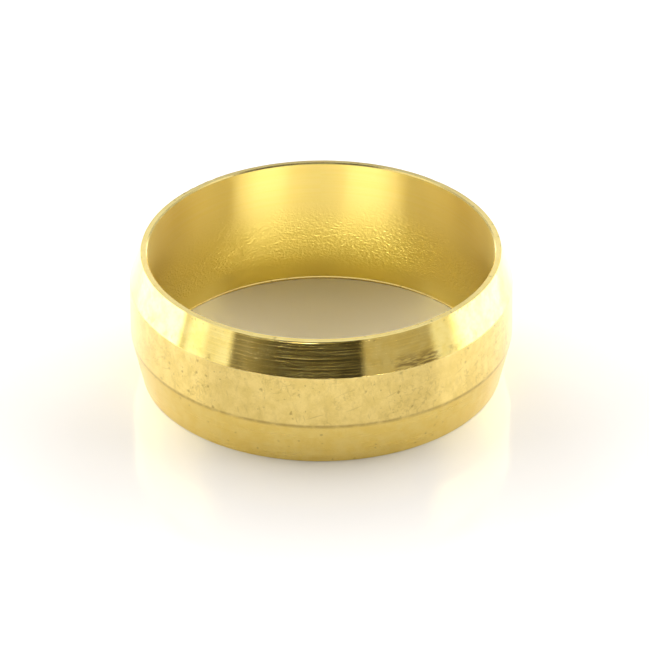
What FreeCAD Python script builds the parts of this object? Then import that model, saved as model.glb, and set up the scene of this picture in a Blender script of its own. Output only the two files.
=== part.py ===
import FreeCAD, Part
import os

import Sketcher

# Compression olive: a brass ring, turned in one piece, that slides onto a copper tube.
# The fitting's body and its nut press on the two tapers and squeeze the ring onto the tube.
# Millimetres, with +Z along the tube and the origin in the middle of the lower rim's plane.

DRIVING_SIZES = {
    "tube_diameter": "22",          # outside of the tube that the olive slides onto
    "tube_clearance": "0.075",      # gap all round between the tube and the bore
    "land_wall": "1.17",            # wall behind the straight land, the widest part
    "upper_rim_wall": "0.42",       # wall left at the end of the upper taper
    "lower_rim_wall": "0.5",        # wall left at the end of the lower taper
    "land_length": "3.5",           # along the axis, as are the two tapers
    "upper_taper_length": "2.3",    # the short, steep taper
    "lower_taper_length": "2.95",   # the long, shallow taper
    "land_edge_radius": "0.25",     # blunted edges where the tapers meet the land
    "rim_edge_radius": "0.06",      # broken edges on the outside of the rims
    "bore_edge_radius": "0.08",     # broken edges at the mouths of the bore
}

# Sizes that follow from the driving ones.
BORE_RADIUS = "sizes.tube_diameter / 2 + sizes.tube_clearance"
LOWER_RIM_RADIUS = BORE_RADIUS + " + sizes.lower_rim_wall"
LAND_RADIUS = BORE_RADIUS + " + sizes.land_wall"
UPPER_RIM_RADIUS = BORE_RADIUS + " + sizes.upper_rim_wall"
FOOT = "0"
LAND_BOTTOM = "sizes.lower_taper_length"
LAND_TOP = LAND_BOTTOM + " + sizes.land_length"
HEAD = LAND_TOP + " + sizes.upper_taper_length"

# The section's corners, in order from the foot of the bore: radius, height and rounding.
CORNERS = [
    (BORE_RADIUS, FOOT, "sizes.bore_edge_radius"),
    (LOWER_RIM_RADIUS, FOOT, "sizes.rim_edge_radius"),
    (LAND_RADIUS, LAND_BOTTOM, "sizes.land_edge_radius"),
    (LAND_RADIUS, LAND_TOP, "sizes.land_edge_radius"),
    (UPPER_RIM_RADIUS, HEAD, "sizes.rim_edge_radius"),
    (BORE_RADIUS, HEAD, "sizes.bore_edge_radius"),
]

# The section's sides, each starting at the corner of its own number.
LOWER_RIM, LOWER_TAPER, LAND, UPPER_TAPER, UPPER_RIM, BORE = range(len(CORNERS))

# How a constraint names the ends of a line, the sketch's origin and its level axis.
LINE_START, LINE_END = 1, 2
SKETCH_ORIGIN = (-1, 1)
LEVEL_AXIS = -1


def add_sheet(doc):
    """The driving dimensions, one row each, with the name beside the number."""
    sheet = doc.addObject("Spreadsheet::Sheet", "sizes")
    for row, (name, number) in enumerate(DRIVING_SIZES.items(), start=1):
        sheet.set(f"A{row}", name)
        sheet.set(f"B{row}", number)
        sheet.setAlias(f"B{row}", name)
    doc.recompute()
    return sheet


def origin_plane(body, role):
    return next(plane for plane in body.Origin.OriginFeatures if plane.Role == role)


def bind(sketch, name, expression, *constraint_terms):
    """Adds a dimension with a name of its own and ties it to the sheet."""
    constraint = Sketcher.Constraint(*constraint_terms)
    constraint.Name = name
    sketch.addConstraint(constraint)
    sketch.setExpression(f"Constraints.{name}", expression)


def draw_outline(sketch, sheet):
    """The section with sharp corners, as a closed ring of lines."""
    points = [
        FreeCAD.Vector(sheet.evalExpression(radius), sheet.evalExpression(height), 0)
        for radius, height, rounding in CORNERS
    ]
    next_points = points[1:] + points[:1]
    sketch.addGeometry([Part.LineSegment(a, b) for a, b in zip(points, next_points)], False)
    for side in range(len(points)):
        next_side = (side + 1) % len(points)
        joined = Sketcher.Constraint("Coincident", side, LINE_END, next_side, LINE_START)
        sketch.addConstraint(joined)
    for rim in (LOWER_RIM, UPPER_RIM):
        sketch.addConstraint(Sketcher.Constraint("Horizontal", rim))
    for wall in (LAND, BORE):
        sketch.addConstraint(Sketcher.Constraint("Vertical", wall))


def dimension_outline(sketch, sheet):
    """Ties the corners to the sheet, by their distances from the axis and from the foot."""
    foot = Sketcher.Constraint("PointOnObject", LOWER_RIM, LINE_START, LEVEL_AXIS)
    sketch.addConstraint(foot)
    dimensions = [
        ("bore_radius", "DistanceX", LOWER_RIM, BORE_RADIUS),
        ("lower_rim_radius", "DistanceX", LOWER_TAPER, LOWER_RIM_RADIUS),
        ("land_radius", "DistanceX", LAND, LAND_RADIUS),
        ("upper_rim_radius", "DistanceX", UPPER_RIM, UPPER_RIM_RADIUS),
        ("land_bottom", "DistanceY", LAND, LAND_BOTTOM),
        ("land_top", "DistanceY", UPPER_TAPER, LAND_TOP),
        ("head", "DistanceY", UPPER_RIM, HEAD),
    ]
    for name, direction, side, expression in dimensions:
        distance = sheet.evalExpression(expression)
        bind(sketch, name, expression, direction, *SKETCH_ORIGIN, side, LINE_START, distance)


def round_corners(sketch, sheet):
    """Rounds every corner, with the sharp corner kept as the point that is dimensioned."""
    for side, (corner_radius, height, rounding) in enumerate(CORNERS):
        arc = len(sketch.Geometry)
        radius = sheet.evalExpression(rounding)
        trim, keep_corner = True, True
        sketch.fillet(side, LINE_START, radius, trim, keep_corner)
        bind(sketch, f"corner_{side}_rounding", rounding, "Radius", arc, radius)


def add_section(body, sheet):
    """Half of the ring's section, on the plane through its axis."""
    sketch = body.newObject("Sketcher::SketchObject", "section")
    sketch.AttachmentSupport = (origin_plane(body, "XZ_Plane"), [""])
    sketch.MapMode = "FlatFace"
    draw_outline(sketch, sheet)
    dimension_outline(sketch, sheet)
    round_corners(sketch, sheet)
    return sketch


def add_olive(doc, sheet):
    """The whole ring, turned about the upright axis of its section."""
    body = doc.addObject("PartDesign::Body", "olive")
    body.Label = "olive"
    section = add_section(body, sheet)
    ring = body.newObject("PartDesign::Revolution", "turned_ring")
    ring.Profile = section
    ring.ReferenceAxis = (section, ["V_Axis"])
    ring.Angle = 360
    body.Placement = FreeCAD.Placement()
    doc.recompute()
    return body


def check(doc, body):
    """Stops before anything is written if a feature failed or the ring isn't one sound solid."""
    for item in doc.Objects:
        if "Invalid" in item.State or "Error" in item.State:
            raise RuntimeError(f"{item.Name} failed: {item.State}")
    if body.Shape.isNull() or not body.Shape.isValid() or len(body.Shape.Solids) != 1:
        raise RuntimeError(f"{body.Label} isn't one valid solid")


def main():
    doc = FreeCAD.newDocument("compression_olive")
    sheet = add_sheet(doc)
    olive = add_olive(doc, sheet)
    check(doc, olive)
    os.makedirs("parts", exist_ok=True)
    olive.Shape.exportStep(f"parts/{olive.Label}.step")
    box = olive.Shape.optimalBoundingBox()
    size = f"{box.XLength:.3f} x {box.YLength:.3f} x {box.ZLength:.3f} mm"
    print(f"{olive.Label}: {size}, {olive.Shape.Volume:.2f} cubic mm")


main()
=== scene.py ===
import math

import bpy
import numpy as np
from mathutils import Matrix, Vector


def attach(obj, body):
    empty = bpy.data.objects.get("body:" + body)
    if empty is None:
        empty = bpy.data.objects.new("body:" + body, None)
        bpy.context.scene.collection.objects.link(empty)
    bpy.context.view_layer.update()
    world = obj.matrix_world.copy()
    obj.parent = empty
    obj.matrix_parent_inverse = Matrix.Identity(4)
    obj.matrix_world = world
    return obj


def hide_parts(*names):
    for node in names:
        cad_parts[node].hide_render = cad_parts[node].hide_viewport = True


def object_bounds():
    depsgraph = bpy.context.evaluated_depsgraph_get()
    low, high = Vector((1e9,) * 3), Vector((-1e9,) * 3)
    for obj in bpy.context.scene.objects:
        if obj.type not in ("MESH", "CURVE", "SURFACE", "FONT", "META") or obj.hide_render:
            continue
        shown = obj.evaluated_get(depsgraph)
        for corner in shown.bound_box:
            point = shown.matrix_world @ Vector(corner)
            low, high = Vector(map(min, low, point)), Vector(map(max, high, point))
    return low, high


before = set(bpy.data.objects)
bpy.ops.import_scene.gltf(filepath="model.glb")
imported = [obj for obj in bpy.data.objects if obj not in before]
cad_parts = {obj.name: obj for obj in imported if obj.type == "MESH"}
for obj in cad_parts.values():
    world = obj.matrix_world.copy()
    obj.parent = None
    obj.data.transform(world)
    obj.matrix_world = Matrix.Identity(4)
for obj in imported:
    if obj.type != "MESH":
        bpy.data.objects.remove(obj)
cad_low, cad_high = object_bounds()

# Sizes are in metres, as in the frame. These turn the usual units into metres and radians.
MM = 0.001
MICRON = 0.000001
DEGREE = math.pi / 180
PER_MM = 1000.0
FULL_TURN = 2 * math.pi

# The straight sides of the ring's section, anticlockwise from its foot.
SIDES = ("lower_rim", "lower_taper", "land", "upper_taper", "upper_rim", "bore")

# How the sides are found in the solid's mesh: its points are rounded to these decimals of a metre,
# and a bend whose sine is smaller than this doesn't end a side.
POINT_DECIMALS = 7
LEAST_BEND = 0.005

# How finely the ring's mesh divides each side, the edge that follows it and the full turn.
# The bore has no such edge, because a burr ends it.
SIDE_STEPS = {
    "lower_rim": 4,
    "lower_taper": 44,
    "land": 36,
    "upper_taper": 64,
    "upper_rim": 5,
    "bore": 36,
}
EDGE_STEPS = {
    "lower_rim": 2,
    "lower_taper": 8,
    "land": 6,
    "upper_taper": 2,
    "upper_rim": 1,
}
TURN_STEPS = 448

# The steps crowd towards the groove at the land's lower edge by this power.
CROWDING = 1.6

# The finish of each side, and of the edge that follows it round the section.
SIDE_FINISH = {
    "lower_rim": "rim",
    "lower_taper": "lower_taper",
    "land": "land",
    "upper_taper": "upper_taper",
    "upper_rim": "rim",
    "bore": "bore",
}
EDGE_FINISH = {
    "lower_rim": "rim",
    "lower_taper": "land",
    "land": "land",
    "upper_taper": "rim",
    "upper_rim": "rim",
    "bore": "rim",
}

# Random lines round the ring: the seed of their draws, and the least and most strength of their waves.
RANDOM_SEED = 22
WAVE_STRENGTHS = (0.4, 1.0)

# Tool marks: the feed for each turn of the work, the depth of the spiral groove that it leaves,
# the share of that depth that is there everywhere and the number of waves in the rest.
TOOL_FEED = {"lower_taper": 0.42 * MM, "upper_taper": 0.34 * MM}
MARK_DEPTH = 1.5 * MICRON
MARK_LEAST = 0.35
MARK_WAVES = 9

# The whole surface is set back by this much, so that the dressed ring stays inside the solid's box.
SURFACE_INSET = 6 * MICRON

# The tool left a fine groove where the land meets the lower taper, a little uneven in depth.
GROOVE_DEPTH = 7 * MICRON
GROOVE_REACH = 0.08 * MM
GROOVE_LEAST = 0.8
GROOVE_WAVES = 14

# The upper rim falls a little towards its outer edge.
RIM_FALL = 26 * MICRON

# A small burr lines the bottom of the bore: how far it stands out, its height and the fall of its top.
BURR_REACH = 0.06 * MM
BURR_HEIGHT = 0.15 * MM
BURR_FALL = 0.035 * MM

# The land is cut slightly out of square with the rims: it sits lower on the +X side.
LAND_LEAN = 0.11 * MM

# The rims' edges wander a little and have a few nicks, each with its angle from +Y, width and depth.
EDGE_WANDER = 2 * MICRON
EDGE_REACH = 0.09 * MM
EDGE_WAVES = 60
NICK_REACH = 0.05 * MM
NICKS = [
    (196 * DEGREE, 0.7 * DEGREE, 3 * MICRON),
    (198 * DEGREE, 0.5 * DEGREE, 3 * MICRON),
    (201 * DEGREE, 0.6 * DEGREE, 3 * MICRON),
    (221 * DEGREE, 0.7 * DEGREE, 8 * MICRON),
    (311 * DEGREE, 0.8 * DEGREE, 22 * MICRON),
    (315 * DEGREE, 0.9 * DEGREE, 26 * MICRON),
    (318 * DEGREE, 0.7 * DEGREE, 18 * MICRON),
    (322 * DEGREE, 0.9 * DEGREE, 28 * MICRON),
    (41 * DEGREE, 0.9 * DEGREE, 20 * MICRON),
    (88 * DEGREE, 0.9 * DEGREE, 18 * MICRON),
]

# Brass, as the share of red, green and blue light that it reflects.
# Each finish has a lighter and a deeper tone. In the bore the paler, bluer tone above is a painted highlight
# and the deeper one below painted shade.
BRASS = {
    "rim": ((0.91, 0.75, 0.30, 1.0), (0.88, 0.70, 0.25, 1.0)),
    "lower_taper": ((0.87, 0.68, 0.22, 1.0), (0.84, 0.63, 0.17, 1.0)),
    "land": ((0.83, 0.65, 0.235, 1.0), (0.745, 0.57, 0.185, 1.0)),
    "upper_taper": ((0.90, 0.72, 0.25, 1.0), (0.86, 0.66, 0.19, 1.0)),
    "bore": ((0.90, 0.75, 0.275, 1.0), (0.88, 0.72, 0.20, 1.0)),
}

# The roughness of each finish, from its smoothest to its roughest places where it varies.
ROUGHNESS = {
    "rim": 0.18,
    "lower_taper": (0.22, 0.28),
    "land": (0.16, 0.24),
    "upper_taper": (0.05, 0.08),
    "bore": 0.285,
}

# How much further highlights spread along the axis than round the ring, and how much less so in the
# bore's ripple. Their direction is a quarter turn from the fine lines.
SPREAD = {"rim": 0.0, "lower_taper": 0.2, "land": 0.3, "upper_taper": 0.6, "bore": 1.0}
RIPPLE_SPREAD_LOSS = 0.15
QUARTER_TURN = 0.25

# The dark dirt in pits, scratches and smudges and the painted shade at the land's lower edge, and how
# strongly they show in each finish.
DIRT_AND_SHADE = (0.32, 0.22, 0.07, 1.0)
DIRT_AND_SHADE_STRENGTH = {"rim": 0.4, "lower_taper": 0.45, "land": 0.58, "upper_taper": 0.55}

# Heights of the relief that is too fine for the mesh.
RIM_GRAIN = 2 * MICRON
UPPER_TAPER_STREAKS = 4.6 * MICRON
UPPER_TAPER_CHATTER = 0.6 * MICRON
LOWER_TAPER_STREAKS = 1.6 * MICRON
LAND_SATIN = 2 * MICRON
BORE_LINES = 2 * MICRON
BORE_RIPPLE = 65 * MICRON

# The bore's ripple, in shares of the ring's height: where it starts above the foot and is full,
# and where it ends below the top and is full.
RIPPLE_FOOT = (0.05, 0.25)
RIPPLE_TOP = (0.8, 0.3)

# Pits are pushed out of round by this much, with so many changes for each millimetre.
PIT_SHIFT = 0.25 * MM
PIT_CHANGES = 6

# The width of a scratch in its own stretched cell, and how strongly scratches and veins show beside pits.
SCRATCH_SIZE = 0.3
SCRATCH_SHARE = 0.5
VEIN_SHARE = 0.55

# The line of painted shade along the land's lower edge: how far it fades out, and its darkest part, to each
# side.
SHADE_LINE_REACH = 0.2 * MM
SHADE_LINE_CORE = 0.04 * MM

# On the upper taper, how far below the top smudges start and are full, and nicks beside the rim likewise.
SMUDGE_DEPTHS = (1.1 * MM, 2.1 * MM)
RIM_NICK_DEPTHS = (0.35 * MM, 0.1 * MM)

# One larger smudge on the upper taper: its angle from +Y, half its width, its fading edge and its strength.
SPOT_PLACE = 150 * DEGREE
SPOT_REACH = 6 * DEGREE
SPOT_FADE = 3 * DEGREE
SPOT_STRENGTH = 1.6

# The middle of the range of a noise.
NOISE_MIDDLE = 0.5

# The camera: the picture's width and the focal length in pixels, the sensor's width in millimetres,
# where the camera stands and how near and far it sees.
FRAME_PIXELS = 650
FOCAL_PIXELS = 5500
SENSOR_WIDTH = 36
CAMERA_ELEVATION = 31.03 * DEGREE
CAMERA_ROLL = -0.35 * DEGREE
CAMERA_DISTANCE = 355 * MM
CAMERA_RIGHT = 0.21 * MM
CAMERA_UP = 2.60 * MM
CLIP_START = CAMERA_DISTANCE / 100
CLIP_END = CAMERA_DISTANCE * 10

# The floor: a glossy white sheet, a little larger than the camera sees.
WHITE = (1.0, 1.0, 1.0, 1.0)
FLOOR_BACK = 120 * MM
FLOOR_SIDE = 30 * MM
FLOOR_FRONT = 60 * MM
FLOOR_GAP = 0.005 * MM
FLOOR_ROUGHNESS = 0.12
FLOOR_IOR = 1.49

# The light tent as seen from the ring, in degrees: azimuth from the camera's side, rightwards, and elevation.
# A panel has its left, right, low and high edge, how soft its edges are and its light, where 1 is white.
# The tent is open on the camera's side. Its ceiling and its lamps light the floor:
# a lamp on each side, a low one in front, a low one behind and a warm one overhead.
OPENING = (-53, 67, -90, 64, 5)
CEILING_LIGHT = 0.42
OVERHEAD_LIGHT = 0.28
OVERHEAD_COLOUR = (1.0, 0.82, 0.60, 1.0)
OVERHEAD_EDGE = (50 * DEGREE, 60 * DEGREE)
LAMPS = [
    (-165, -74, 14, 38, 18, 4.7),
    (74, 165, 14, 38, 18, 4.7),
    (-50, 56, 10.5, 19, 3, 2.2),
    (110, 250, 8, 16, 4, 5.5),
]

# First reflections show the white wall below the ceiling and the cards before it.
# What they show through the opening, below the bright cards, is dim and warm.
WALL_EDGE = (10 * DEGREE, 6 * DEGREE)
OPENING_EDGE = (10 * DEGREE, 8 * DEGREE)
OPENING_COLOUR = (1.0, 0.91, 0.74, 1.0)
CARDS = [
    (-53, 67, -90, 64, 5, 0.05),
    (-53, -32, -90, 8, 24, 0.26),
    (-50, 56, 9, 19, 9, 0.8),
    (24, 45, -90, 8, 4, 0.5),
    (45, 67, -90, 8, 4, 0.44),
    (-52, 56, 12, 19.5, 3, 17.5),
    (-42, -17, 12, 19.5, 4, 13.0),
    (22, 46, 12, 19.5, 4, 13.0),
    (-90, -46, 13, 27, 30, 2.5),
    (50, 90, 13, 27, 30, 2.5),
    (-165, -88, -40, 3, 5, 2.0),
    (-82, -70, -40, 3, 7, 0.5),
    (85, 165, -40, 3, 14, 2.0),
    (160, 200, 22, 38, 5, 0.45),
    (160, 200, 27, 34, 5, 0.25),
    (70, 307, 40, 64, 4, 0.6),
    (-180, 180, 64, 90, 4, 0.6),
]

# A ray that reaches the world has a depth of 1 from the camera, 2 after one reflection and 3 after two.
DEPTH_LIMIT = 2.5


# Section of the ring, read from the solid

def section_points(node):
    """The points of the solid's section as radius and height, anticlockwise."""
    places = np.array([vertex.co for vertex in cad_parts[node].data.vertices])
    radius = np.hypot(places[:, 0], places[:, 1])
    points = np.unique(np.column_stack((radius, places[:, 2])).round(POINT_DECIMALS), axis=0)
    middle = (points.min(0) + points.max(0)) / 2
    return points[np.argsort(np.arctan2(points[:, 1] - middle[1], points[:, 0] - middle[0]))]


def section_sides(node):
    """The straight sides of the section by name, each as its start and end, with the upper rim's fall."""
    points = section_points(node)
    before = points - np.roll(points, 1, axis=0)
    after = np.roll(points, -1, axis=0) - points
    turned = before[:, 0] * after[:, 1] - before[:, 1] * after[:, 0]
    bend = turned / np.hypot(*before.T) / np.hypot(*after.T)
    starts = points[np.abs(bend) > LEAST_BEND]

    ends = np.roll(starts, -1, axis=0)
    longest = np.sort(np.argsort(np.hypot(*(ends - starts).T))[-len(SIDES):])
    lowest = np.argmin(starts[longest, 1] + ends[longest, 1])
    ordered = np.roll(longest, -lowest)
    sides = {name: (starts[i], ends[i]) for name, i in zip(SIDES, ordered)}
    outer, inner = sides["upper_rim"]
    sides["upper_rim"] = (outer - (0, RIM_FALL), inner)
    return sides


def meeting_point(first, second):
    """The sharp corner where two sides would meet."""
    along = first[1] - first[0]
    other = second[1] - second[0]
    gap = second[0] - first[1]
    share = (gap[0] * other[1] - gap[1] * other[0]) / (along[0] * other[1] - along[1] * other[0])
    return first[1] + share * along


def side_shares(name):
    """Where the mesh divides a side: evenly, or more closely beside the groove at the land's lower edge."""
    share = np.arange(SIDE_STEPS[name]) / SIDE_STEPS[name]
    if name == "land":
        return share ** CROWDING
    if name == "lower_taper":
        return 1 - (1 - share) ** CROWDING
    return share


def burr_points(sides):
    """The small burr round the bottom of the bore, from its top to the lower rim."""
    radius = sides["bore"][1][0]
    base = sides["lower_rim"][0][1]
    inner = radius - BURR_REACH
    shoulder = base + BURR_HEIGHT - BURR_FALL
    return np.array([
        (radius, base + BURR_HEIGHT),
        (inner, shoulder),
        (inner, base + BURR_FALL),
        (radius - BURR_FALL, base),
    ])


def edge_points(sides, name, next_name):
    """Points along the rounded edge from one side to the next."""
    if name == "bore":
        return burr_points(sides)
    share = (np.arange(EDGE_STEPS[name]) / EDGE_STEPS[name])[:, None]
    end = sides[name][1]
    corner = meeting_point(sides[name], sides[next_name])
    start = sides[next_name][0]
    return (1 - share) ** 2 * end + 2 * (1 - share) * share * corner + share ** 2 * start


def section_profile(sides):
    """Points round the section, the side and distance of each along it, its finish, and the sharp corners."""
    points, runs, finishes, corners = [], [], [], {}
    for name, next_name in zip(SIDES, SIDES[1:] + SIDES[:1]):
        start, end = sides[name]
        for share in side_shares(name):
            points.append(start + share * (end - start))
            runs.append((name, share * np.hypot(*(end - start))))
            finishes.append(SIDE_FINISH[name])
        for point in edge_points(sides, name, next_name):
            points.append(point)
            runs.append((None, 0.0))
            finishes.append(EDGE_FINISH[name])
        corners[name] = meeting_point(sides[name], sides[next_name])
    return np.array(points), runs, finishes, corners


# Shape of the ring: tool marks, worn edges and the land's lean

def wander(angle, random, waves):
    """A smooth random line round the ring, from 0 to 1, that closes on itself."""
    line = np.zeros_like(angle)
    for wave in range(1, waves + 1):
        line += np.cos(wave * angle + random.uniform(0, FULL_TURN)) * random.uniform(*WAVE_STRENGTHS)
    return (line - line.min()) / (line.max() - line.min())


def tool_marks(runs, angle, random):
    """Depth of the spiral groove that the cutting tool left on the tapers."""
    depth = np.zeros((len(runs), len(angle)))
    for row, (name, distance) in enumerate(runs):
        if name not in TOOL_FEED:
            continue
        phase = (distance / TOOL_FEED[name] + angle / FULL_TURN) % 1
        scallop = 1 - (2 * phase - 1) ** 2
        uneven = MARK_LEAST + (1 - MARK_LEAST) * wander(angle, random, MARK_WAVES)
        depth[row] = MARK_DEPTH * scallop * uneven
    return depth


def worn_edges(points, corners, angle, random):
    """Depth of the rims' small irregularities: a wandering edge everywhere and nicks in the upper rim."""
    depth = np.zeros((len(points), len(angle)))
    for name in ("lower_rim", "upper_taper", "upper_rim", "bore"):
        distance = np.hypot(*(points - corners[name]).T)
        line = EDGE_WANDER * wander(angle, random, EDGE_WAVES)
        depth += np.outer(np.exp(-((distance / EDGE_REACH) ** 2)), line)
    distance = np.hypot(*(points - corners["upper_taper"]).T)
    for place, width, nick_depth in NICKS:
        away = (angle - place + math.pi) % FULL_TURN - math.pi
        dent = nick_depth * np.exp(-((away / width) ** 2))
        depth += np.outer(np.exp(-((distance / NICK_REACH) ** 2)), dent)
    return depth


def land_groove(points, corners, angle, random):
    """Depth of the fine groove along the land's lower edge."""
    distance = np.hypot(*(points - corners["lower_taper"]).T)
    depth = GROOVE_DEPTH * (GROOVE_LEAST + (1 - GROOVE_LEAST) * wander(angle, random, GROOVE_WAVES))
    return np.outer(np.exp(-((distance / GROOVE_REACH) ** 2)), depth)


def land_lean(sides, points, angle):
    """How far each place is lowered by the land's lean, which ends at the bore and at the rims."""
    bore = sides["bore"][0][0]
    rim = sides["upper_rim"][0][0]
    land_bottom, land_top = sides["land"][0][1], sides["land"][1][1]
    in_height = np.interp(points[:, 1], [cad_low.z, land_bottom, land_top, cad_high.z], [0, 1, 1, 0])
    outside = np.interp(points[:, 0], [bore, rim], [0, 1])
    return np.outer(in_height * outside, LAND_LEAN * np.sin(angle))


def ring_places(sides):
    """Vertex places, as rows round the section and columns round the axis, and each row's finish."""
    random = np.random.default_rng(RANDOM_SEED)
    points, runs, finishes, corners = section_profile(sides)
    angle = np.arange(TURN_STEPS) / TURN_STEPS * FULL_TURN
    along = np.roll(points, -1, axis=0) - np.roll(points, 1, axis=0)
    along /= np.hypot(*along.T)[:, None]
    depth = SURFACE_INSET + tool_marks(runs, angle, random)
    depth += worn_edges(points, corners, angle, random) + land_groove(points, corners, angle, random)
    radius = points[:, :1] - depth * along[:, 1:]
    height = points[:, 1:] + depth * along[:, :1] - land_lean(sides, points, angle)
    places = np.stack((radius * np.sin(angle), radius * np.cos(angle), height), axis=-1)
    return places, points, finishes


def ring_faces(row, column):
    """Four-sided faces that close the mesh round the section and round the axis."""
    rows, columns = row.shape
    next_row, next_column = (row + 1) % rows, (column + 1) % columns
    corners = [(row, column), (next_row, column), (next_row, next_column), (row, next_column)]
    return np.stack([r * columns + c for r, c in corners], axis=-1).reshape(-1, 4)


def sharpen_rims(mesh, columns, is_rim):
    """Every line round the ring that borders on the rims' finish is sharp."""
    borders = np.flatnonzero(is_rim | np.roll(is_rim, 1))
    ends = np.empty(2 * len(mesh.edges), np.int32)
    mesh.edges.foreach_get("vertices", ends)
    first, second = (ends // columns).reshape(-1, 2).T
    mesh.edges.foreach_set("use_edge_sharp", (first == second) & np.isin(first, borders))


def unroll(mesh, points, row, column):
    """A map that unrolls the surface, in metres: round the ring and along its section from the foot."""
    columns = column.shape[1]
    steps = np.hypot(*(np.roll(points, -1, axis=0) - points).T)
    length = np.concatenate(([0], np.cumsum(steps)))
    across = np.stack([column, column, column + 1, column + 1], axis=-1) / columns * FULL_TURN * cad_high.x
    up = length[np.stack([row, row + 1, row + 1, row], axis=-1)]
    unrolled = mesh.uv_layers.new(name="unrolled")
    unrolled.uv.foreach_set("vector", np.stack((across, up), axis=-1).astype(np.float32).ravel())


def build_ring(sides, materials):
    """The ring as one closed mesh, with the finish of each side and a map that unrolls its surface."""
    places, points, finishes = ring_places(sides)
    rows, columns = places.shape[:2]
    row, column = np.meshgrid(np.arange(rows), np.arange(columns), indexing="ij")
    faces = ring_faces(row, column)

    mesh = bpy.data.meshes.new("olive_ring")
    mesh.from_pydata(places.reshape(-1, 3).tolist(), [], faces.tolist())
    for name in materials:
        mesh.materials.append(materials[name])
    numbers = {name: number for number, name in enumerate(materials)}
    row_finish = np.array([numbers[finish] for finish in finishes])
    mesh.polygons.foreach_set("material_index", np.repeat(row_finish, columns))
    mesh.polygons.foreach_set("use_smooth", np.ones(len(faces), bool))
    sharpen_rims(mesh, columns, row_finish == numbers["rim"])
    unroll(mesh, points, row, column)
    mesh.update()

    ring = bpy.data.objects.new("olive_ring", mesh)
    bpy.context.scene.collection.objects.link(ring)
    return ring


# Node trees

class NodeTree:
    """Short calls for building the nodes of one material or world."""

    def __init__(self, owner):
        owner.use_nodes = True
        self.nodes = owner.node_tree.nodes
        self.links = owner.node_tree.links
        self.nodes.clear()

    def add(self, kind, inputs=None, **settings):
        """A new node with its settings, and its inputs linked or set."""
        node = self.nodes.new(kind)
        for name, value in settings.items():
            setattr(node, name, value)
        for socket, value in (inputs or {}).items():
            self.fill(node.inputs[socket], value)
        return node

    def fill(self, socket, value):
        """Links an input to another node's output, or sets its value."""
        if isinstance(value, bpy.types.NodeSocket):
            self.links.new(value, socket)
        else:
            socket.default_value = value

    def math(self, operation, *values):
        return self.add("ShaderNodeMath", dict(enumerate(values)), operation=operation).outputs[0]

    def rise(self, value, low, high, least=0.0, most=1.0):
        """Goes smoothly from least to most as the value goes from low to high."""
        limits = {"Value": value, "From Min": low, "From Max": high, "To Min": least, "To Max": most}
        return self.add("ShaderNodeMapRange", limits, interpolation_type="SMOOTHSTEP").outputs[0]

    def blend(self, share, first, second):
        """A number between two numbers."""
        inputs = {"Factor": share, "A": first, "B": second}
        return self.add("ShaderNodeMix", inputs).outputs["Result"]

    def mix(self, share, first, second):
        """A colour between two colours. Of the node's sockets of one name, the enabled one is for colours."""
        inputs = {"Factor": share, "A": first, "B": second}
        node = self.add("ShaderNodeMix", data_type="RGBA")
        for socket in node.inputs:
            if socket.enabled and socket.name in inputs:
                self.fill(socket, inputs[socket.name])
        return next(socket for socket in node.outputs if socket.enabled)

    def scaled(self, vector, scale):
        node = self.add("ShaderNodeVectorMath", {0: vector, 1: scale}, operation="MULTIPLY")
        return node.outputs[0]

    def noise(self, vector, detail=2.0, roughness=0.5):
        inputs = {"Vector": vector, "Scale": 1.0, "Detail": detail, "Roughness": roughness}
        return self.add("ShaderNodeTexNoise", inputs).outputs[0]

    def spots(self, vector, size, share):
        """Scattered spots, from 0 to 1, in a share of the cells that fill the surface."""
        inputs = {"Vector": vector, "Scale": 1.0}
        cells = self.add("ShaderNodeTexVoronoi", inputs, voronoi_dimensions="2D").outputs
        chance = self.add("ShaderNodeSeparateColor", {0: cells["Color"]}).outputs[0]
        chosen = self.math("LESS_THAN", chance, share)
        return self.math("MULTIPLY", self.rise(cells["Distance"], size, size / 3), chosen)

    def bump(self, height, distance, normal=None):
        inputs = {"Height": height, "Distance": distance, "Strength": 1.0}
        if normal is not None:
            inputs["Normal"] = normal
        return self.add("ShaderNodeBump", inputs).outputs["Normal"]


# Brass finishes

def object_place(tree):
    return tree.add("ShaderNodeTexCoord").outputs["Object"]


def unrolled_place(tree):
    return tree.add("ShaderNodeUVMap", uv_map="unrolled").outputs[0]


def height_of(tree, place):
    return tree.add("ShaderNodeSeparateXYZ", {0: place}).outputs["Z"]


def per_mm(*counts):
    """The scale for a count of cells in each millimetre: one count for all three axes, or one for each."""
    if len(counts) == 1:
        counts = counts * 3
    return tuple(count * PER_MM for count in counts)


def turning_lines(tree, along, across, detail=3.0):
    """Fine lines round the ring: slow changes along each line and fast ones across them, per millimetre."""
    stretched = tree.scaled(unrolled_place(tree), per_mm(along, across, 0.0))
    return tree.noise(stretched, detail=detail, roughness=0.6)


def pits(tree, cells, size, share):
    """Small uneven pits: cells for each millimetre, a pit's size in its cell and the share that hold one."""
    place = unrolled_place(tree)
    changes = tree.scaled(place, per_mm(PIT_CHANGES))
    noise = tree.add("ShaderNodeTexNoise", {"Vector": changes, "Scale": 1.0})
    shift = tree.scaled(noise.outputs["Color"], (PIT_SHIFT,) * 3)
    moved = tree.add("ShaderNodeVectorMath", {0: place, 1: shift}, operation="ADD").outputs[0]
    return tree.spots(tree.scaled(moved, per_mm(cells)), size, share)


def scratches(tree, turn, along, across, share):
    """Short thin scratches at an angle, in radians, to the turning lines, with cells for each millimetre."""
    inputs = {"Vector": unrolled_place(tree), "Angle": turn}
    turned = tree.add("ShaderNodeVectorRotate", inputs, rotation_type="Z_AXIS").outputs[0]
    return tree.spots(tree.scaled(turned, per_mm(along, across, 0.0)), SCRATCH_SIZE, share)


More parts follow.
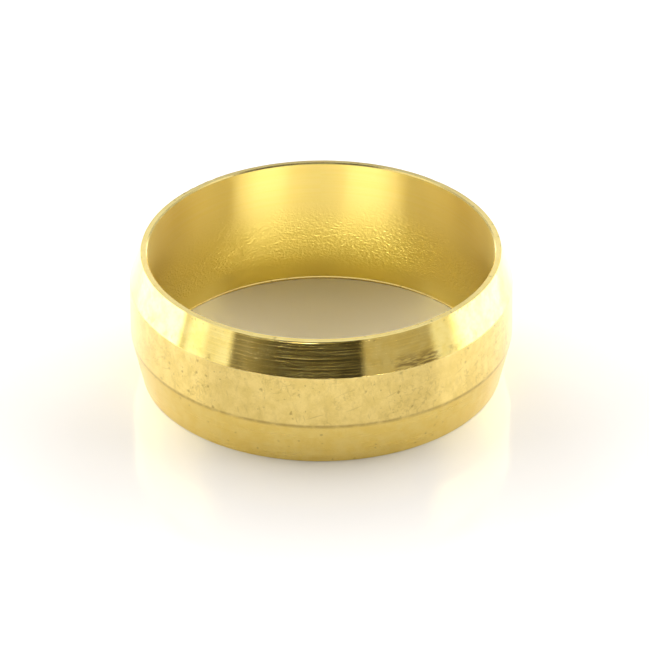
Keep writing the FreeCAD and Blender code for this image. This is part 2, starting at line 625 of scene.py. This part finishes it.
def veins(tree, place, cells, width):
    """Thin wandering lines in some places, like fine scratches and the edges of stains."""
    wave = tree.noise(tree.scaled(place, per_mm(cells)), detail=3.0, roughness=0.6)
    away = tree.math("ABSOLUTE", tree.math("SUBTRACT", wave, NOISE_MIDDLE))
    line = tree.rise(away, low=width, high=0.0)
    # The other sign gives the patches a place of their own in the noise.
    patch = tree.rise(tree.noise(tree.scaled(place, per_mm(-0.4))), low=0.45, high=0.6)
    return tree.math("MULTIPLY", line, patch)


def painted_edge_shade(tree, place, level):
    """A soft broken line of painted shade along the land's edge at a level, following the land's lean."""
    x, _, z = tree.add("ShaderNodeSeparateXYZ", {0: place}).outputs
    leaned = tree.math("MULTIPLY_ADD", x, LAND_LEAN / cad_high.x, z)
    away = tree.math("ABSOLUTE", tree.math("SUBTRACT", leaned, level))
    uneven = tree.noise(tree.scaled(place, per_mm(1.5)), detail=4.0, roughness=0.65)
    broken = tree.rise(uneven, low=0.3, high=0.6, least=0.35, most=1.0)
    return tree.math("MULTIPLY", tree.rise(away, low=SHADE_LINE_REACH, high=SHADE_LINE_CORE), broken)


def dirty_and_shaded_brass(tree, place, finish, dirt_and_shade):
    """Drifts between the metal's lighter and deeper tone, with dark dirt in the marks and painted shade where
    the mask holds it.
    """
    drift = tree.noise(tree.scaled(place, per_mm(1.0)), detail=6.0, roughness=0.7)
    metal = tree.mix(tree.rise(drift, low=0.36, high=0.64), *BRASS[finish])
    return tree.mix(tree.math("MULTIPLY", dirt_and_shade, DIRT_AND_SHADE_STRENGTH[finish]), metal, DIRT_AND_SHADE)


def uneven_roughness(tree, finish, relief, low, high):
    """Rougher where the relief is higher."""
    least, most = ROUGHNESS[finish]
    return tree.rise(relief, low, high, least, most)


def brass_shader(tree, colour, roughness, normal, spread):
    """Bare metal whose fine lines run round the ring, so that highlights spread along its axis."""
    tangent = tree.add("ShaderNodeTangent", direction_type="RADIAL", axis="Z").outputs[0]
    inputs = {
        "Base Color": colour,
        "Metallic": 1.0,
        "Roughness": roughness,
        "Anisotropic": spread,
        "Anisotropic Rotation": QUARTER_TURN,
        "Tangent": tangent,
        "Normal": normal,
    }
    shader = tree.add("ShaderNodeBsdfPrincipled", inputs)
    tree.add("ShaderNodeOutputMaterial", {"Surface": shader.outputs[0]})


def new_brass(finish):
    material = bpy.data.materials.new("brass_" + finish)
    return material, NodeTree(material)


def rim_brass():
    """Cut metal with a fine grain and a few pits."""
    material, tree = new_brass("rim")
    place = object_place(tree)
    grain = tree.noise(tree.scaled(place, per_mm(7)), detail=3.0)
    normal = tree.bump(grain, RIM_GRAIN)
    colour = dirty_and_shaded_brass(tree, place, "rim", pits(tree, cells=1.8, size=0.25, share=0.15))
    brass_shader(tree, colour, ROUGHNESS["rim"], normal, SPREAD["rim"])
    return material


def handled_spot(tree, beside_land):
    """A streaky dark smudge low on the upper taper, in one place."""
    across = tree.add("ShaderNodeSeparateXYZ", {0: unrolled_place(tree)}).outputs["X"]
    away = tree.math("ABSOLUTE", tree.math("SUBTRACT", across, SPOT_PLACE * cad_high.x))
    inside = tree.rise(away, (SPOT_REACH + SPOT_FADE) * cad_high.x, SPOT_REACH * cad_high.x)
    lines = turning_lines(tree, along=0.9, across=5.0, detail=4.0)
    streaky = tree.rise(lines, low=0.4, high=0.6, least=0.0, most=SPOT_STRENGTH)
    return tree.math("MULTIPLY", tree.math("MULTIPLY", inside, streaky), beside_land)


def upper_taper_dirt(tree, place):
    """Smudges beside the land, small nicks beside the rim and one larger smudge."""
    smear = tree.noise(tree.scaled(place, per_mm(1.1)), detail=5.0, roughness=0.65)
    depth = tree.math("SUBTRACT", cad_high.z, height_of(tree, place))
    beside_land = tree.rise(depth, *SMUDGE_DEPTHS)
    beside_rim = tree.rise(depth, *RIM_NICK_DEPTHS)
    smudge = tree.math("MULTIPLY", tree.rise(smear, low=0.5, high=0.75), beside_land)
    nick = tree.math("MULTIPLY", pits(tree, cells=3.0, size=0.35, share=0.3), beside_rim)
    return tree.math("MAXIMUM", tree.math("MAXIMUM", smudge, nick), handled_spot(tree, beside_land))


def upper_taper_brass():
    """Bright turned metal with uneven streaks."""
    material, tree = new_brass("upper_taper")
    place = object_place(tree)
    streaks = turning_lines(tree, along=0.12, across=8.0, detail=4.0)
    chatter = tree.noise(tree.scaled(place, per_mm(4, 4, 8)))
    normal = tree.bump(chatter, UPPER_TAPER_CHATTER, tree.bump(streaks, UPPER_TAPER_STREAKS))
    roughness = uneven_roughness(tree, "upper_taper", streaks, low=0.34, high=0.68)
    colour = dirty_and_shaded_brass(tree, place, "upper_taper", upper_taper_dirt(tree, place))
    brass_shader(tree, colour, roughness, normal, SPREAD["upper_taper"])
    return material


def lower_taper_brass(land_foot):
    """Duller turned metal with faint streaks, a few pits and painted shade along the land's lower edge."""
    material, tree = new_brass("lower_taper")
    place = object_place(tree)
    streaks = turning_lines(tree, along=0.08, across=5.0)
    pit = pits(tree, cells=1.4, size=0.13, share=0.14)
    normal = tree.bump(tree.math("SUBTRACT", streaks, pit), LOWER_TAPER_STREAKS)
    roughness = uneven_roughness(tree, "lower_taper", streaks, low=0.3, high=0.7)
    # Painted shade: a dark line along the land's lower edge, beside the pits.
    dirt_and_shade = tree.math("MAXIMUM", pit, painted_edge_shade(tree, place, land_foot))
    colour = dirty_and_shaded_brass(tree, place, "lower_taper", dirt_and_shade)
    brass_shader(tree, colour, roughness, normal, SPREAD["lower_taper"])
    return material


def land_marks(tree, place):
    """Pits that crowd in some places, and short scratches."""
    crowded = tree.rise(tree.noise(tree.scaled(place, per_mm(0.35))), low=0.42, high=0.58)
    large_pits = pits(tree, cells=0.9, size=0.13, share=0.7)
    small_pits = pits(tree, cells=2.3, size=0.16, share=0.22)
    pit = tree.math("MULTIPLY", tree.math("MAXIMUM", large_pits, small_pits), crowded)
    long_scratches = scratches(tree, turn=0.35, along=0.4, across=6.0, share=0.05)
    short_scratches = scratches(tree, turn=-1.3, along=0.9, across=7.0, share=0.05)
    scratch = tree.math("MAXIMUM", long_scratches, short_scratches)
    return tree.math("MAXIMUM", pit, tree.math("MULTIPLY", scratch, SCRATCH_SHARE))


def land_brass(land_foot):
    """Satin metal with pits, short scratches, slight stains and painted shade along its lower edge."""
    material, tree = new_brass("land")
    place = object_place(tree)
    mark = land_marks(tree, place)
    satin = tree.noise(tree.scaled(place, per_mm(8)), detail=3.0)
    normal = tree.bump(tree.math("SUBTRACT", satin, mark), LAND_SATIN)
    roughness = uneven_roughness(tree, "land", satin, low=0.3, high=0.7)

    blotches = tree.noise(tree.scaled(place, per_mm(2.2, 2.2, 0.9)), detail=5.0, roughness=0.7)
    stain = tree.rise(blotches, low=0.48, high=0.75, least=0.0, most=0.4)
    # Painted shade: a dark line along the land's lower edge, beside the stains.
    stain_and_shade = tree.math("MAXIMUM", stain, painted_edge_shade(tree, place, land_foot))
    veined = tree.math("MULTIPLY", veins(tree, place, cells=1.1, width=0.03), VEIN_SHARE)
    dirt_and_shade = tree.math("MAXIMUM", tree.math("MAXIMUM", mark, veined), stain_and_shade)
    colour = dirty_and_shaded_brass(tree, place, "land", dirt_and_shade)
    brass_shader(tree, colour, roughness, normal, SPREAD["land"])
    return material


def bore_brass():
    """Drawn metal with fine lines, a rippled skin in its lower half, and painted shade that deepens its
    colour there.
    """
    material, tree = new_brass("bore")
    place = object_place(tree)
    lines = turning_lines(tree, along=0.1, across=6.0)
    ripple = tree.noise(tree.scaled(place, per_mm(5, 5, 9)))
    patch = tree.rise(tree.noise(tree.scaled(place, per_mm(0.3))), low=0.35, high=0.6, least=0.8)
    share = tree.math("DIVIDE", height_of(tree, place), cad_high.z)
    lower_half = tree.rise(share, *RIPPLE_TOP)
    above_foot = tree.rise(share, *RIPPLE_FOOT)
    depth = tree.math("MULTIPLY", tree.math("MULTIPLY", lower_half, above_foot), patch)
    waves = tree.math("MULTIPLY", tree.math("SUBTRACT", ripple, NOISE_MIDDLE), depth)
    normal = tree.bump(lines, BORE_LINES, tree.bump(waves, BORE_RIPPLE))

    rippled = tree.math("MULTIPLY", lower_half, patch)
    spread = tree.math("MULTIPLY_ADD", rippled, -RIPPLE_SPREAD_LOSS, SPREAD["bore"])
    # Painted shade and highlight: the colour deepens into the lower half and is paler and bluer above; some
    # fine lines deepen it at random.
    deeper = tree.math("MAXIMUM", lower_half, tree.rise(lines, low=0.35, high=0.65, least=0.0, most=0.4))
    colour = tree.mix(deeper, *BRASS["bore"])
    brass_shader(tree, colour, ROUGHNESS["bore"], normal, spread)
    return material


# Stage: floor, light and camera

def build_floor():
    """A glossy white sheet that the ring stands on."""
    level = cad_low.z - FLOOR_GAP
    corners = [
        (-FLOOR_SIDE, -FLOOR_FRONT, level),
        (FLOOR_SIDE, -FLOOR_FRONT, level),
        (FLOOR_SIDE, FLOOR_BACK, level),
        (-FLOOR_SIDE, FLOOR_BACK, level),
    ]
    mesh = bpy.data.meshes.new("floor")
    mesh.from_pydata(corners, [], [(0, 1, 2, 3)])
    material = bpy.data.materials.new("white_sheet")
    tree = NodeTree(material)
    inputs = {"Base Color": WHITE, "Roughness": FLOOR_ROUGHNESS, "IOR": FLOOR_IOR}
    shader = tree.add("ShaderNodeBsdfPrincipled", inputs)
    tree.add("ShaderNodeOutputMaterial", {"Surface": shader.outputs[0]})
    mesh.materials.append(material)
    floor = bpy.data.objects.new("floor", mesh)
    bpy.context.scene.collection.objects.link(floor)


def light_panel(tree, azimuth, elevation, left, right, low, high, blur, light=1.0):
    """The light of one panel of the tent, given by its edges in degrees as seen from the ring."""
    soft = blur * DEGREE / 2
    middle, half = (left + right) / 2 * DEGREE, (right - left) / 2 * DEGREE
    turned = tree.math("SUBTRACT", azimuth, middle)
    away = tree.math("ABSOLUTE", tree.math("WRAP", turned, math.pi, -math.pi))
    inside = tree.rise(away, half - soft, half + soft, 1.0, 0.0)
    above = tree.rise(elevation, low * DEGREE - soft, low * DEGREE + soft)
    below = tree.rise(elevation, high * DEGREE - soft, high * DEGREE + soft, 1.0, 0.0)
    return tree.math("MULTIPLY", tree.math("MULTIPLY", inside, light), tree.math("MULTIPLY", above, below))


def with_panels(tree, azimuth, elevation, light, panels):
    """The light with that of several panels added to it."""
    for panel in panels:
        light = tree.math("ADD", light, light_panel(tree, azimuth, elevation, *panel))
    return light


def light_tent():
    """The world: lamps that light the floor, and a wall and cards that show in first reflections."""
    world = bpy.data.worlds.new("light_tent")
    bpy.context.scene.world = world
    tree = NodeTree(world)
    direction = tree.add("ShaderNodeTexCoord").outputs["Generated"]
    x, y, z = tree.add("ShaderNodeSeparateXYZ", {0: direction}).outputs
    azimuth = tree.math("ARCTAN2", x, tree.math("MULTIPLY", y, -1.0))
    elevation = tree.math("ARCSINE", z)

    opened = light_panel(tree, azimuth, elevation, *OPENING)
    closed = tree.math("SUBTRACT", 1.0, opened)
    overhead = tree.rise(elevation, *OVERHEAD_EDGE)
    ceiling = tree.math("MULTIPLY", CEILING_LIGHT, closed)
    above = tree.math("ADD", ceiling, tree.math("MULTIPLY", OVERHEAD_LIGHT, overhead))
    lit = with_panels(tree, azimuth, elevation, above, LAMPS)
    wall = tree.math("MULTIPLY", tree.rise(elevation, *WALL_EDGE, CEILING_LIGHT, 1.0), closed)
    shown = with_panels(tree, azimuth, elevation, wall, CARDS)

    path = tree.add("ShaderNodeLightPath").outputs
    shiny = tree.math("MAXIMUM", path["Is Glossy Ray"], path["Is Transmission Ray"])
    mirrored = tree.math("MULTIPLY", shiny, tree.math("LESS_THAN", path["Ray Depth"], DEPTH_LIMIT))
    level = tree.blend(path["Is Camera Ray"], tree.blend(mirrored, lit, shown), 1.0)
    outside = tree.math("MULTIPLY", opened, tree.rise(elevation, *OPENING_EDGE))
    tinted = tree.blend(mirrored, overhead, outside)
    tint = tree.mix(mirrored, OVERHEAD_COLOUR, OPENING_COLOUR)
    colour = tree.mix(tinted, WHITE, tint)
    background = tree.add("ShaderNodeBackground", {"Color": colour, "Strength": level})
    tree.add("ShaderNodeOutputWorld", {"Surface": background.outputs[0]})


def place_camera():
    """The camera stands on the -Y side, raised and rolled as in the photograph."""
    sine, cosine = math.sin(CAMERA_ELEVATION), math.cos(CAMERA_ELEVATION)
    back = Vector((0, -cosine, sine))
    level_up = Vector((0, sine, cosine))
    level_right = Vector((1, 0, 0))
    right = math.cos(CAMERA_ROLL) * level_right + math.sin(CAMERA_ROLL) * level_up
    up = math.cos(CAMERA_ROLL) * level_up - math.sin(CAMERA_ROLL) * level_right
    place = CAMERA_DISTANCE * back + CAMERA_RIGHT * right + CAMERA_UP * up

    data = bpy.data.cameras.new("camera")
    data.sensor_width = SENSOR_WIDTH
    data.lens = SENSOR_WIDTH * FOCAL_PIXELS / FRAME_PIXELS
    data.clip_start = CLIP_START
    data.clip_end = CLIP_END
    camera = bpy.data.objects.new("camera", data)
    turn = Matrix((right, up, back)).transposed().to_4x4()
    camera.matrix_world = Matrix.Translation(place) @ turn
    bpy.context.scene.collection.objects.link(camera)
    bpy.context.scene.camera = camera


sides = section_sides("olive")
land_foot = meeting_point(sides["lower_taper"], sides["land"])[1]
materials = {
    "rim": rim_brass(),
    "lower_taper": lower_taper_brass(land_foot),
    "land": land_brass(land_foot),
    "upper_taper": upper_taper_brass(),
    "bore": bore_brass(),
}
ring = build_ring(sides, materials)
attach(ring, "root")
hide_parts("olive")
build_floor()
light_tent()
place_camera()
bpy.context.scene.view_settings.view_transform = "Standard"
